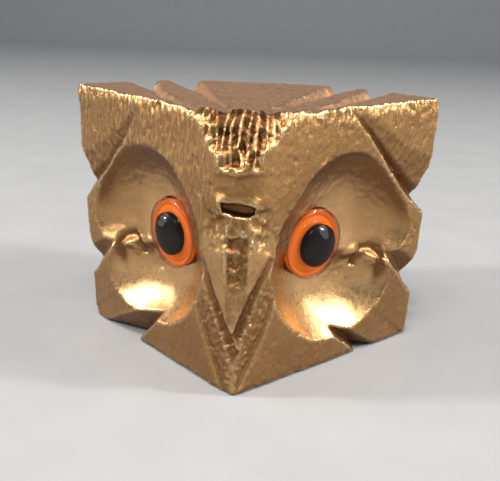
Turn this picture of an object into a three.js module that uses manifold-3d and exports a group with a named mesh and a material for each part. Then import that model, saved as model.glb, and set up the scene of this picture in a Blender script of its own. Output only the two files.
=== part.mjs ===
// Cube-shaped owl figurine: a hollow, gilt cast-metal block stood on one face and seen
// corner-on, so that one upright edge is the beak and the two edges beside it are the ears.
// Each front face carries a double bowl (upper eye disc and lower cheek spoon), an ear
// groove, a cheek groove and a lower groove. The top and the two back faces carry
// overlapping feather cuts. Two domed eyes sit in counterbored seats, and the hollow
// underside is closed by a plate with a felt pad under it.
//
// Frame: millimetres, +Z up, origin on the resting plane under the block's centre.
// The beak edge points to -Y, the bird's ears to -X and +X.
//
// The carving is laid out on an untapered block of side SIDE and then drawn to the real
// taper, which is wider at the crown than at the foot.

import * as THREE from 'three';
import { mergeVertices } from 'three/addons/utils/BufferGeometryUtils.js';
import Module from 'manifold-3d';

const wasm = await Module();
wasm.setup();

// ---------------------------------------------------------------- driving dimensions (mm)
const SIDE = 50;                      // nominal block side, and the figurine's height
const HALF_DIAG = SIDE / Math.SQRT2;  // half of the block's diagonal, untapered
const HALF_DIAG_TOP = 36.35;          // half diagonal at the crown
const HALF_DIAG_FOOT = 33.5;          // half diagonal at the foot
const FOOT_Z = 0.4;                   // the casting's rim, held up by the felt

const CAVITY_FRONT_INSET = 11.5;      // hollow, measured in from the two front faces
const CAVITY_BACK_INSET = 5.5;        // hollow, measured in from the two back faces
const CAVITY_TOP = 42;                // hollow's ceiling
const CAVITY_CORNER_R = 5;
const CAVITY_DRAFT = 0.9;             // ceiling size over mouth size

const REBATE_FROM = 8.6;              // seat of the closing plate, in from the front faces
const REBATE_SIZE = 38;
const REBATE_TOP = 2.2;
const REBATE_CORNER_R = 4;
const PLATE_Z = [0.9, 1.9];
const FELT_Z = [0, 0.6];
const FIT_GAP = 0.3;                  // adhesive and fitting gap between fixed pieces

const EYE_R = 6.8;                    // 13.6 mm over the rim, a nominal 14 mm eye
const EYE_DOME_R = 5.7;               // where the dome springs from the eye's rim
const EYE_FLANGE_W = 2.8;             // depth of the rim's top below the face
const EYE_SEAT_R = EYE_R + FIT_GAP;
const EYE_COLLAR_R = 7.6;
const EYE_COLLAR_W = 3.6;             // depth of the seat's collar below the face
const PEG_R = 2.0;
const PEG_BORE_R = PEG_R + FIT_GAP;

// Distance u runs along a face from the beak edge, z is height, both in real millimetres.
const SIDES = {
  right: {
    sign: 1,
    eye: [21.6, 24.2],
    upper: { centre: [28.5, 27.5], depth: 4.3, power: 2.8, rim: [[9.2, 25], [10, 29], [12, 32.3], [14.2, 35], [17, 38.2], [20, 40.2], [24, 41.6], [28, 41.8], [31, 41], [35, 38.6], [38, 36], [41, 33], [44, 29.4], [45.4, 26], [45.4, 23.3], [43.6, 20.8], [40, 18.6], [34, 17], [27, 16], [20, 16.5], [13, 19], [9.6, 22]] },
    lower: { centre: [25.5, 14.6], depth: 5.6, power: 2.4, rim: [[8.9, 22], [9.1, 19], [9.8, 16], [11, 13.5], [12.9, 11], [15.1, 9], [18, 7], [21, 5.8], [25, 5.3], [29, 5.9], [33, 7], [36, 8.5], [38.9, 11.2], [40.2, 14.2], [39.6, 18], [37.5, 21], [33, 23.5], [27, 25], [20, 26], [12.5, 25.2]] },
    ear: { p0: [27, 48.6], p1: [50, 29.9], d: [0.1, 2.8], broad: [0.6, 6.4], steep: [0.3, 2.0], side: 1 },
    cheek: { p0: [38, 21.2], p1: [48.6, 13.1], d: [0.8, 3.1], broad: [2.0, 5.6], steep: [0.8, 2.4], side: 1 },
    foot: { p0: [22.3, 9.3], p1: [37.3, -1.2], d: [1.6, 3.5], broad: [2.6, 5.6], steep: [1.2, 2.3], side: 1 },
  },
  left: {
    sign: -1,
    eye: [22.7, 24.6],
    upper: { centre: [28.5, 27.5], depth: 4.3, power: 2.8, rim: [[9.6, 25], [10.2, 29], [12, 33], [14.6, 36], [17.2, 38.4], [20.2, 40.2], [24, 41.2], [28, 41.2], [32, 40.4], [35.6, 38.5], [38, 36.9], [40.4, 34.6], [43.2, 31], [45.2, 27], [45.6, 24], [44.4, 21], [41, 18.4], [34, 16.6], [27, 16], [20, 16.5], [13.5, 19], [10, 22]] },
    lower: { centre: [26, 14.3], depth: 5.6, power: 2.4, rim: [[9.4, 22], [9.7, 18.6], [10.6, 16.2], [12, 14], [14, 11.2], [17, 9], [20, 7.6], [24, 6.9], [28, 6.6], [32, 6.6], [36, 7.4], [39, 9], [41.2, 12], [41.3, 15], [40, 18.4], [37.5, 21], [33, 23.3], [27, 25], [20, 26], [12.8, 25.2]] },
    ear: { p0: [28.6, 47.3], p1: [50.2, 29.3], d: [0.1, 2.2], broad: [0.6, 5.0], steep: [0.3, 2.2], side: 1 },
    cheek: { p0: [39, 19.6], p1: [49.4, 12.4], d: [0.7, 2.6], broad: [1.8, 5.0], steep: [0.8, 2.4], side: 1 },
    foot: { p0: [23.2, 8.9], p1: [37, -1.3], d: [1.6, 3.4], broad: [2.6, 6.0], steep: [1.2, 2.3], side: 1 },
  },
};

// Cuts that are the same on both front faces.
const BEAK_GROOVE = { p0: [9.4, 24.2], p1: [1.7, 8.6], d: [0.4, 1.7], broad: [1.6, 2.8], steep: [0.6, 1.0], side: 1 };
const CHIN_BAND = { p0: [11, 19.2], p1: [4.0, -0.6], d: [0.5, 0.6], broad: [1.6, 1.4], steep: [1.6, 2.0], side: 1 };
const CERE_FACET = { p0: [2.6, 34.4], p1: [9.4, 29.8], d: [1.2, 0.4], broad: [5.0, 2.4], steep: [0.7, 0.5], side: -1 };

// Cut-back of the front upright edge against height: sharp at the foot, flat along the
// beak's ridge, notched above the beak, then sloped back under the crown.
const FRONT_EDGE = [[-1, 1.1], [5, 0.9], [9, 0.4], [15, 0.4], [20, 0.8], [25, 1.5], [30, 2.3], [33.2, 2.9], [34.6, 4.6], [36.2, 3.0], [38.2, 2.3], [40.6, 2.1], [50.5, 9.3], [52, 10.4]];
const BACK_EDGE = [[-1, 1.6], [10, 1.7], [30, 1.8], [44, 2.005], [50, 5.2], [52, 6.3]];

// Feather cuts over the crown, on the +X side, in plan.
const CROWN_CUTS = [
  { p0: [0.6, -33], p1: [17.2, 24], d: [0.5, 2.5], broad: [2.0, 6.5], steep: [0.7, 1.5], side: -1 },
  { p0: [7.2, -30], p1: [27.2, 14], d: [0.4, 2.2], broad: [1.6, 6.0], steep: [0.6, 1.4], side: -1 },
];
// The crown's dip towards the back corner.
const CROWN_DIP = [[14, 0], [36, 1.7]];

// Feather cuts down each back face; u runs from the ear edge to the back edge.
const BACK_CUTS = [
  { p0: [39, 5], p1: [26.6, 51], d: [0.3, 2.3], broad: [1.5, 6.5], steep: [0.6, 1.5], side: -1 },
  { p0: [28, 9], p1: [15.0, 51], d: [0.3, 2.1], broad: [1.5, 6.0], steep: [0.6, 1.4], side: -1 },
  { p0: [16, 17.5], p1: [-1.5, 31], d: [0.2, 2.6], broad: [1.0, 5.6], steep: [0.5, 2.0], side: -1 },
  { p0: [14, 4], p1: [-1.5, 14], d: [0.2, 2.6], broad: [1.0, 5.0], steep: [0.5, 2.0], side: -1 },
];

// ---------------------------------------------------------------- solids
const toSolid = (geometry) => {
  const g = geometry.clone();
  for (const name of ['normal', 'uv']) if (g.getAttribute(name)) g.deleteAttribute(name);
  const merged = mergeVertices(g, 1e-4);
  const position = merged.getAttribute('position');
  let tri = Array.from(merged.index.array);
  const faces = [];
  for (let i = 0; i < tri.length; i += 3) {
    const [a, b, c] = [tri[i], tri[i + 1], tri[i + 2]];
    if (a !== b && b !== c && a !== c) faces.push(a, b, c);
  }
  tri = faces;
  let volume = 0;
  const p = (i) => new THREE.Vector3().fromBufferAttribute(position, i);
  for (let i = 0; i < tri.length; i += 3) volume += p(tri[i]).dot(p(tri[i + 1]).cross(p(tri[i + 2])));
  if (volume < 0) for (let i = 0; i < tri.length; i += 3) [tri[i], tri[i + 1]] = [tri[i + 1], tri[i]];
  return new wasm.Manifold(new wasm.Mesh({
    numProp: 3,
    vertProperties: new Float32Array(position.array),
    triVerts: new Uint32Array(tri),
  }));
};

const toGeometry = (solid) => {
  const mesh = solid.getMesh();
  const geometry = new THREE.BufferGeometry();
  geometry.setAttribute('position', new THREE.BufferAttribute(new Float32Array(mesh.vertProperties), 3));
  geometry.setIndex(new THREE.BufferAttribute(new Uint32Array(mesh.triVerts), 1));
  geometry.computeVertexNormals();
  return geometry;
};

const mapVertices = (geometry, fn) => {
  const position = geometry.getAttribute('position');
  for (let i = 0; i < position.count; i++) {
    const [x, y, z] = fn(position.getX(i), position.getY(i), position.getZ(i));
    position.setXYZ(i, x, y, z);
  }
  return geometry;
};

// ---------------------------------------------------------------- taper and face frames
const C = Math.SQRT1_2;
const halfDiagonal = (z) => HALF_DIAG_FOOT + (HALF_DIAG_TOP - HALF_DIAG_FOOT) * z / SIDE;
const taper = (z) => halfDiagonal(z) / HALF_DIAG;
const straighten = ([u, z]) => [u / taper(z), z];   // real face point to the untapered block

// (u, z, depth) on a face of the untapered block to a point in space.
const frontFace = (sign) => (u, z, w) => [sign * (u - w) * C, -HALF_DIAG + (u + w) * C, z];
const backFace = (sign) => (u, z, w) => [sign * (HALF_DIAG - (u + w) * C), (u - w) * C, z];
const crownFace = (sign) => (x, y, w) => [sign * x, y, SIDE - w];

// ---------------------------------------------------------------- cutters
// A chip cut: a V section whose one flank is broad and the other steep, growing in depth
// and width from p0 to p1.
const chipCutter = (cut, place, past = 0.12, before = 0.0) => {
  const { p0, p1, d, broad, steep, side } = cut;
  const dir = new THREE.Vector2(p1[0] - p0[0], p1[1] - p0[1]);
  const unit = dir.clone().normalize();
  const normal = new THREE.Vector2(-unit.y, unit.x).multiplyScalar(side);
  const section = new THREE.Shape([new THREE.Vector2(-1, 0), new THREE.Vector2(0, -1), new THREE.Vector2(1, 0)]);
  const wedge = new THREE.ExtrudeGeometry(section, { depth: 1, steps: 1, bevelEnabled: false });
  const lift = 1.6;                        // the section's height above the face
  return toSolid(mapVertices(wedge, (q, w, s) => {
    const t = s < 0.5 ? -before : 1 + past;
    const at = (pair) => Math.max(0.02, pair[0] + (pair[1] - pair[0]) * t);
    const depth = at(d);
    const grow = 1 + lift / depth;
    const across = q > 0.5 ? at(broad) * grow : q < -0.5 ? -at(steep) * grow : 0;
    const down = w < -0.5 ? depth : -lift;
    return place(p0[0] + dir.x * t + normal.x * across, p0[1] + dir.y * t + normal.y * across, down);
  }));
};

// A bowl: a sphere drawn out to the rim's outline, with its floor shaped by a power law.
const bowlCutter = (bowl, place) => {
  const rim = bowl.rim.map(straighten);
  const [cu, cz] = straighten(bowl.centre);
  const curve = new THREE.CatmullRomCurve3(rim.map(([u, z]) => new THREE.Vector3(u - cu, z - cz, 0)), true, 'catmullrom', 0.5);
  const polar = curve.getPoints(240).map((p) => [Math.atan2(p.y, p.x), Math.hypot(p.x, p.y)]).sort((a, b) => a[0] - b[0]);
  const radius = (angle) => {
    const a = Math.atan2(Math.sin(angle), Math.cos(angle));
    let best = polar[polar.length - 1], next = polar[0], gap = polar[0][0] + 2 * Math.PI - best[0], from = a - best[0];
    if (from < 0) from += 2 * Math.PI;
    for (let i = 0; i + 1 < polar.length; i++) {
      if (a >= polar[i][0] && a <= polar[i + 1][0]) {
        best = polar[i]; next = polar[i + 1]; gap = next[0] - best[0]; from = a - best[0];
        break;
      }
    }
    return best[1] + (next[1] - best[1]) * (gap > 1e-9 ? from / gap : 0);
  };
  const rings = 14;
  const ball = new THREE.SphereGeometry(1, 40, rings);
  return toSolid(mapVertices(ball, (x, y, z) => {
    const polarAngle = Math.acos(Math.max(-1, Math.min(1, y)));       // 0 at the floor
    const share = polarAngle / Math.PI;
    const angle = Math.atan2(z, x);
    const onAxis = Math.hypot(x, z) < 1e-6;
    // The first three quarters of the rings are the floor, out to just past the rim; the
    // rest close the cutter above the face.
    const split = (rings - 3) / rings;
    let s, w;
    if (share <= split + 1e-6) {
      s = share / split * 1.06;
      w = bowl.depth * (1 - s ** bowl.power);
    } else {
      s = 1.06 * (1 - (share - split) / (1 - split));
      w = bowl.depth * (1 - 1.06 ** bowl.power) - 2;
    }
    if (onAxis) s = 0;
    const r = onAxis ? 0 : radius(angle) * s;
    return place(cu + r * Math.cos(angle), cz + r * Math.sin(angle), w);
  }));
};

// An upright edge cut back by a profile of [height, cut-back].
const edgeCutter = (profile, front) => {
  const far = HALF_DIAG + 6;
  const shape = new THREE.Shape([
    new THREE.Vector2(far, profile[0][0]),
    ...profile.map(([z, cut]) => new THREE.Vector2(HALF_DIAG - cut, z)),
    new THREE.Vector2(far, profile[profile.length - 1][0]),
  ]);
  const slab = new THREE.ExtrudeGeometry(shape, { depth: 40, bevelEnabled: false });
  return toSolid(mapVertices(slab, (a, z, b) => [b - 20, front ? -a : a, z]));
};

// ---------------------------------------------------------------- casting
const rotatedSquare = (from, size, corner, scale = 1) => {
  // Outline in plan, in block coordinates: from and size are measured along the two
  // directions square to the front faces, starting at the beak edge.
  const shape = new THREE.Shape();
  const a = -size / 2 * scale, b = size / 2 * scale, r = corner * scale;
  shape.moveTo(a + r, a);
  shape.lineTo(b - r, a); shape.absarc(b - r, a + r, r, -Math.PI / 2, 0, false);
  shape.lineTo(b, b - r); shape.absarc(b - r, b - r, r, 0, Math.PI / 2, false);
  shape.lineTo(a + r, b); shape.absarc(a + r, b - r, r, Math.PI / 2, Math.PI, false);
  shape.lineTo(a, a + r); shape.absarc(a + r, a + r, r, Math.PI, 1.5 * Math.PI, false);
  return { shape, middle: from + size / 2 };
};
const squarePrism = (from, size, corner, z0, z1, topScale = 1, segments = 5) => {
  const { shape, middle } = rotatedSquare(from, size, corner);
  const prism = new THREE.ExtrudeGeometry(shape, { depth: z1 - z0, bevelEnabled: false, curveSegments: segments });
  const centreY = -HALF_DIAG + middle * Math.SQRT2;
  return mapVertices(prism, (a, b, z) => {
    const k = z > 1e-6 ? topScale : 1;
    return [(a - b) * C * k, centreY + (a + b) * C * k, z0 + z];
  });
};

let block = toSolid(mapVertices(new THREE.BoxGeometry(SIDE, SIDE, SIDE - FOOT_Z),
  (a, b, z) => [(a - b) * C, (a + b) * C, z + (SIDE + FOOT_Z) / 2]));
for (const sideDef of Object.values(SIDES)) {
  const front = frontFace(sideDef.sign);
  const lay = (cut) => ({ ...cut, p0: straighten(cut.p0), p1: straighten(cut.p1) });
  block = block.subtract(bowlCutter(sideDef.upper, front));
  block = block.subtract(bowlCutter(sideDef.lower, front));
  for (const name of ['ear', 'cheek', 'foot']) block = block.subtract(chipCutter(lay(sideDef[name]), front));
  block = block.subtract(chipCutter(lay(BEAK_GROOVE), front, 0.0));
  block = block.subtract(chipCutter(lay(CHIN_BAND), front, 0.05));
  block = block.subtract(chipCutter(lay(CERE_FACET), front, 0.0, 0.25));
  for (const cut of BACK_CUTS) block = block.subtract(chipCutter(cut, backFace(sideDef.sign), 0.08));
  for (const cut of CROWN_CUTS) block = block.subtract(chipCutter(cut, crownFace(sideDef.sign), 0.12, 0.06));
}
block = block.subtract(edgeCutter(FRONT_EDGE, true));
block = block.subtract(edgeCutter(BACK_EDGE, false));
{
  const dip = new THREE.Shape([
    new THREE.Vector2(CROWN_DIP[0][0], SIDE - CROWN_DIP[0][1] + 0.001), new THREE.Vector2(CROWN_DIP[1][0] + 4, SIDE - CROWN_DIP[1][1] * 26 / 22),
    new THREE.Vector2(CROWN_DIP[1][0] + 4, SIDE + 4), new THREE.Vector2(CROWN_DIP[0][0], SIDE + 4),
  ]);
  const slab = new THREE.ExtrudeGeometry(dip, { depth: 80, bevelEnabled: false });
  block = block.subtract(toSolid(mapVertices(slab, (y, z, x) => [x - 40, y, z])));
}

// Draw the carved block to its real taper, then cut what has to be true to size.
let casting = toSolid(mapVertices(toGeometry(block), (x, y, z) => [x * taper(z), y * taper(z), z]));

const eyeFrame = (sideDef) => {
  const [u, z] = sideDef.eye;
  const lean = (HALF_DIAG_TOP - HALF_DIAG_FOOT) / SIDE * C;
  const normal = new THREE.Vector3(sideDef.sign * C, -C, -lean).normalize();
  const onFace = new THREE.Vector3(sideDef.sign * u * C, -halfDiagonal(z) + u * C, z);
  const turn = new THREE.Quaternion().setFromUnitVectors(new THREE.Vector3(0, 0, 1), normal);
  return { normal, onFace, turn };
};
// Heights below are along the eye's axis from the floor of its seat.
const SEAT_FLOOR_W = EYE_FLANGE_W + 2.9;
const BACKING_Z = [FIT_GAP, 0.9];
const IRIS_Z = [1.2, 1.9];
const LENS_Z = 2.2;
const FLANGE_TOP = 2.9;
const DOME_TOP = 6.0;
const PUPIL_R = 3.9;
const PUPIL_WALL = 3.3;
const PUPIL_TOP = 4.1;
const RECESS_R = PUPIL_R + FIT_GAP;
const RECESS_WALL = PUPIL_WALL + 0.2;
const RECESS_TOP = PUPIL_TOP + FIT_GAP;
const PEG_LENGTH = 3.4;

const placeOnEye = (geometry, frame) => geometry
  .applyQuaternion(frame.turn)
  .translate(...frame.onFace.clone().addScaledVector(frame.normal, -SEAT_FLOOR_W).toArray());
const disc = (r, z0, z1, segments = 40) => new THREE.CylinderGeometry(r, r, z1 - z0, segments).rotateX(Math.PI / 2).translate(0, 0, (z0 + z1) / 2);

for (const sideDef of Object.values(SIDES)) {
  const frame = eyeFrame(sideDef);
  casting = casting.add(toSolid(placeOnEye(disc(EYE_COLLAR_R, -4, SEAT_FLOOR_W - EYE_COLLAR_W), frame)));
  casting = casting.subtract(toSolid(placeOnEye(disc(EYE_SEAT_R, 0, 12), frame)));
  casting = casting.subtract(toSolid(placeOnEye(disc(PEG_BORE_R, -PEG_LENGTH - FIT_GAP, 1, 24), frame)));
}
casting = casting.subtract(toSolid(squarePrism(CAVITY_FRONT_INSET, SIDE - CAVITY_FRONT_INSET - CAVITY_BACK_INSET, CAVITY_CORNER_R, -2, CAVITY_TOP, CAVITY_DRAFT)));
casting = casting.subtract(toSolid(squarePrism(REBATE_FROM, REBATE_SIZE, REBATE_CORNER_R, -1, REBATE_TOP)));

// ---------------------------------------------------------------- eye pieces
const lathe = (points, segments = 40) => new THREE.LatheGeometry(points.map(([r, z]) => new THREE.Vector2(r, z)), segments).rotateX(Math.PI / 2);
const closedLathe = (points, segments) => toGeometry(toSolid(lathe(points, segments)));

const domePoints = [];
{
  const rise = DOME_TOP - FLANGE_TOP;
  const sphere = (EYE_DOME_R ** 2 + rise ** 2) / (2 * rise);
  const steps = 9;
  for (let i = 1; i <= steps; i++) {
    const r = EYE_DOME_R * (1 - i / steps);
    domePoints.push([i === steps ? 0 : r, FLANGE_TOP + Math.sqrt(sphere ** 2 - r ** 2) - (sphere - rise)]);
  }
}
// A low dome from its edge (r, z0) up to the axis at z1.
const crown = (r, z0, z1, steps = 5) => {
  const rise = z1 - z0;
  const sphere = (r * r + rise * rise) / (2 * rise);
  return Array.from({ length: steps + 1 }, (_, i) => {
    const a = r * (1 - i / steps);
    return [i === steps ? 0 : a, z0 + Math.sqrt(sphere * sphere - a * a) - (sphere - rise)];
  });
};
const lensGeometry = () => closedLathe([
  ...crown(RECESS_R, RECESS_WALL, RECESS_TOP).reverse(), [RECESS_R, LENS_Z],
  [EYE_R - 0.15, LENS_Z], [EYE_R, LENS_Z + 0.15], [EYE_R, FLANGE_TOP - 0.3], [EYE_R - 0.25, FLANGE_TOP - 0.08],
  [EYE_DOME_R, FLANGE_TOP], ...domePoints,
]);
const pupilGeometry = () => closedLathe([[0, LENS_Z + 0.02], [PUPIL_R, LENS_Z + 0.02], ...crown(PUPIL_R, PUPIL_WALL, PUPIL_TOP)], 40);
const irisGeometry = () => closedLathe([[0, IRIS_Z[0]], [EYE_R - 0.3, IRIS_Z[0]], [EYE_R - 0.3, IRIS_Z[1]], [0, IRIS_Z[1]]], 40);
const backingGeometry = () => closedLathe([
  [0, -PEG_LENGTH], [PEG_R - 0.4, -PEG_LENGTH], [PEG_R, -PEG_LENGTH + 0.5], [PEG_R, BACKING_Z[0]],
  [EYE_R - 0.3, BACKING_Z[0]], [EYE_R - 0.1, BACKING_Z[0] + 0.2], [EYE_R - 0.1, BACKING_Z[1]], [0, BACKING_Z[1]],
], 32);

// ---------------------------------------------------------------- base pieces
const plateGeometry = () => toGeometry(toSolid(squarePrism(REBATE_FROM + FIT_GAP, REBATE_SIZE - 2 * FIT_GAP, REBATE_CORNER_R - FIT_GAP, PLATE_Z[0], PLATE_Z[1])));
const feltGeometry = () => toGeometry(toSolid(squarePrism(REBATE_FROM + 0.6, REBATE_SIZE - 1.2, REBATE_CORNER_R - 0.6, FELT_Z[0], FELT_Z[1])));

// ---------------------------------------------------------------- materials and assembly
const gilt = () => new THREE.MeshStandardMaterial({ color: new THREE.Color(0.72, 0.52, 0.27), roughness: 0.38, metalness: 1.0 });
const clear = () => new THREE.MeshStandardMaterial({ color: new THREE.Color(0.96, 0.97, 0.96), roughness: 0.04, metalness: 0.0, transparent: true, opacity: 0.35 });
const orange = () => new THREE.MeshStandardMaterial({ color: new THREE.Color(0.85, 0.23, 0.02), roughness: 0.3, metalness: 0.0 });
const black = () => new THREE.MeshStandardMaterial({ color: new THREE.Color(0.015, 0.014, 0.015), roughness: 0.2, metalness: 0.0 });
const backing = () => new THREE.MeshStandardMaterial({ color: new THREE.Color(0.05, 0.04, 0.04), roughness: 0.5, metalness: 0.0 });
const steel = () => new THREE.MeshStandardMaterial({ color: new THREE.Color(0.55, 0.55, 0.56), roughness: 0.45, metalness: 1.0 });
const felt = () => new THREE.MeshStandardMaterial({ color: new THREE.Color(0.05, 0.16, 0.09), roughness: 0.95, metalness: 0.0 });

const model = new THREE.Group();
const piece = (parent, name, geometry, material) => {
  const mesh = new THREE.Mesh(geometry, material);
  mesh.name = name;
  parent.add(mesh);
  return mesh;
};

piece(model, 'owl_casting', toGeometry(casting), gilt());
piece(model, 'base_plate', plateGeometry(), steel());
piece(model, 'felt_pad', feltGeometry(), felt());

for (const [name, sideDef] of Object.entries(SIDES)) {
  const frame = eyeFrame(sideDef);
  const eye = new THREE.Group();
  eye.quaternion.copy(frame.turn);
  eye.position.copy(frame.onFace.clone().addScaledVector(frame.normal, -SEAT_FLOOR_W));
  piece(eye, `${name}_eye_lens`, lensGeometry(), clear());
  piece(eye, `${name}_eye_pupil`, pupilGeometry(), black());
  piece(eye, `${name}_eye_iris`, irisGeometry(), orange());
  piece(eye, `${name}_eye_backing`, backingGeometry(), backing());
  model.add(eye);
}

export default model;
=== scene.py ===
"""Cube-shaped owl figurine in gilt metal: the looks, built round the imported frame."""

import math

import bmesh
import bpy
import numpy as np
from mathutils import Matrix, Vector


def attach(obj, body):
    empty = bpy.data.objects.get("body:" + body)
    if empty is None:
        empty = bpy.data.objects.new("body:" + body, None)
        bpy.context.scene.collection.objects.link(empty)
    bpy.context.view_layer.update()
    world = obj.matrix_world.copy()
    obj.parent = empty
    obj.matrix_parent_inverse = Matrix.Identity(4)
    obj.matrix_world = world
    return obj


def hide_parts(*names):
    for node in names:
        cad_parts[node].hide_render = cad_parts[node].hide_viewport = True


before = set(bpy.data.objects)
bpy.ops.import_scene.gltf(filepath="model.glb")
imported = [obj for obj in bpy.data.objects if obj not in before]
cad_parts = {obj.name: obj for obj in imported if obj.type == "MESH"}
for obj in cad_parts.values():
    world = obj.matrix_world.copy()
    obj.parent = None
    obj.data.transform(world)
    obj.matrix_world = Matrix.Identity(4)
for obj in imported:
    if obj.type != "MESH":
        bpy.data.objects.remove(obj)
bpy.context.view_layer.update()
MM = 0.001
S2 = math.sqrt(2.0)

# ------------------------------------------------------------------ block and faces (mm)
H = 50.0
H_TOP, H_FOOT = 36.35, 33.5


def hd(z):
    """Half the block's diagonal at height z."""
    return H_FOOT + (H_TOP - H_FOOT) * z / H


def rng(seed):
    return np.random.default_rng(seed)


# ------------------------------------------------------------------ noise in the plane
def _hash(ix, iy, seed):
    h = (ix.astype(np.int64) * 374761393 + iy.astype(np.int64) * 668265263 + seed * 2147483647) & 0xFFFFFFFF
    h = ((h ^ (h >> 13)) * 1274126177) & 0xFFFFFFFF
    h = ((h ^ (h >> 16)) * 2246822519) & 0xFFFFFFFF
    return ((h ^ (h >> 15)) & 0xFFFFFF) / float(0xFFFFFF)


def vnoise(x, y, seed=0):
    ix, iy = np.floor(x), np.floor(y)
    fx, fy = x - ix, y - iy
    fx, fy = fx * fx * (3 - 2 * fx), fy * fy * (3 - 2 * fy)
    a, b = _hash(ix, iy, seed), _hash(ix + 1, iy, seed)
    c, d = _hash(ix, iy + 1, seed), _hash(ix + 1, iy + 1, seed)
    return (a * (1 - fx) + b * fx) * (1 - fy) + (c * (1 - fx) + d * fx) * fy


def fbm(x, y, seed=0, octaves=3):
    out, amp, total = 0.0, 1.0, 0.0
    for k in range(octaves):
        out = out + amp * (vnoise(x * 2**k, y * 2**k, seed + 17 * k) - 0.5)
        total += amp
        amp *= 0.5
    return out / total * 2


def cells(x, y, seed=0, jitter=0.85):
    """Distance to the nearest and second nearest of scattered points, and the nearest's number."""
    ix, iy = np.floor(x), np.floor(y)
    f1 = np.full(x.shape, 9.0)
    f2 = np.full(x.shape, 9.0)
    rid = np.zeros(x.shape)
    for dx in (-1, 0, 1):
        for dy in (-1, 0, 1):
            cx, cy = ix + dx, iy + dy
            px = cx + 0.5 + jitter * (_hash(cx, cy, seed) - 0.5)
            py = cy + 0.5 + jitter * (_hash(cx, cy, seed + 91) - 0.5)
            d = np.hypot(x - px, y - py)
            near = d < f1
            f2 = np.where(near, f1, np.minimum(f2, d))
            rid = np.where(near, _hash(cx, cy, seed + 7), rid)
            f1 = np.where(near, d, f1)
    return f1, f2, rid


def scallops(x, y, wide, tall, seed, jitter=0.85, warp=0.25):
    """Overlapping gouge bites, each wide by tall: 0 on the ridges between them, 1 at a bite's middle."""
    wx = x / wide + warp * fbm(x / wide * 0.7, y / tall * 0.7, seed + 3, 2)
    wy = y / tall + warp * fbm(x / wide * 0.7, y / tall * 0.7, seed + 5, 2)
    f1, _f2, rid = cells(wx, wy, seed, jitter)
    return np.clip(1 - (f1 / 0.75) ** 2, 0, 1) * (0.55 + 0.45 * rid)


def smooth(a, b, t):
    t = np.clip((t - a) / (b - a), 0, 1)
    return t * t * (3 - 2 * t)


def smax(a, b, k):
    h = np.clip(0.5 + 0.5 * (a - b) / k, 0, 1)
    return b * (1 - h) + a * h + k * h * (1 - h)


# ------------------------------------------------------------------ carved features
STEP = 0.1


def blur(v, sigma):
    """Gaussian blur of a map, sigma in mm."""
    k = int(3 * sigma / STEP) + 1
    w = np.exp(-0.5 * (np.arange(-k, k + 1) * STEP / sigma) ** 2)
    w /= w.sum()
    for axis in (0, 1):
        pad = [(0, 0), (0, 0)]
        pad[axis] = (k, k)
        q = np.pad(v, pad, mode="edge")
        out = np.zeros_like(v)
        for i, wi in enumerate(w):
            cut_ = [slice(None), slice(None)]
            cut_[axis] = slice(i, i + v.shape[axis])
            out += wi * q[tuple(cut_)]
        v = out
    return v


def spline(points, n=40):
    p = np.array(points, float)
    out = []
    m = len(p)
    for i in range(m):
        a, b, c, d = p[i - 1], p[i], p[(i + 1) % m], p[(i + 2) % m]
        t = np.linspace(0, 1, n, endpoint=False)[:, None]
        out.append(0.5 * (2 * b + (c - a) * t + (2 * a - 5 * b + 4 * c - d) * t**2 + (3 * b - a - 3 * c + d) * t**3))
    return np.concatenate(out)


def bowl_share(u, z, rim, centre):
    """0 at the bowl's middle, 1 on its rim."""
    q = spline(rim) - np.array(centre)
    ang, rad = np.arctan2(q[:, 1], q[:, 0]), np.hypot(q[:, 0], q[:, 1])
    order = np.argsort(ang)
    ang, rad = ang[order], rad[order]
    ang = np.concatenate([ang[-1:] - 2 * np.pi, ang, ang[:1] + 2 * np.pi])
    rad = np.concatenate([rad[-1:], rad, rad[:1]])
    du, dz = u - centre[0], z - centre[1]
    return np.hypot(du, dz) / np.interp(np.arctan2(dz, du), ang, rad)


def polyline(u, z, points):
    """Share along and signed distance (left positive) from a polyline."""
    p = np.array(points, float)
    seg = p[1:] - p[:-1]
    length = np.hypot(seg[:, 0], seg[:, 1])
    start = np.concatenate([[0], np.cumsum(length)])
    best = np.full(u.shape, 1e9)
    share = np.zeros(u.shape)
    side = np.zeros(u.shape)
    for i in range(len(seg)):
        d = seg[i] / length[i]
        a, b = u - p[i, 0], z - p[i, 1]
        t = a * d[0] + b * d[1]
        lo = -1e9 if i == 0 else 0.0
        hi = 1e9 if i == len(seg) - 1 else length[i]
        tc = np.clip(t, lo, hi)
        dist = np.hypot(a - tc * d[0], b - tc * d[1])
        cross = d[0] * b - d[1] * a
        near = dist < best - 1e-9
        best = np.where(near, dist, best)
        share = np.where(near, (start[i] + tc) / start[-1], share)
        side = np.where(near, np.sign(cross), side)
    return share, best * side


def chip(u, z, points, depth, left, right, fade=(0.0, 0.0)):
    """A V cut along a line; depth and the widths of its left and right flanks are (share, value) tables."""
    t, q = polyline(u, z, points)

    def at(table):
        table = np.array(table, float)
        return np.interp(t, table[:, 0], table[:, 1])

    d = at(depth)
    width = np.where(q > 0, at(left), at(right))
    out = d * (1 - np.abs(q) / width)
    if fade[0]:
        out = out - 6 * np.clip(-t / fade[0], 0, 1) * d.max()
    return out


def table(*pairs):
    return list(pairs)


# ------------------------------------------------------------------ depth maps


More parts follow.
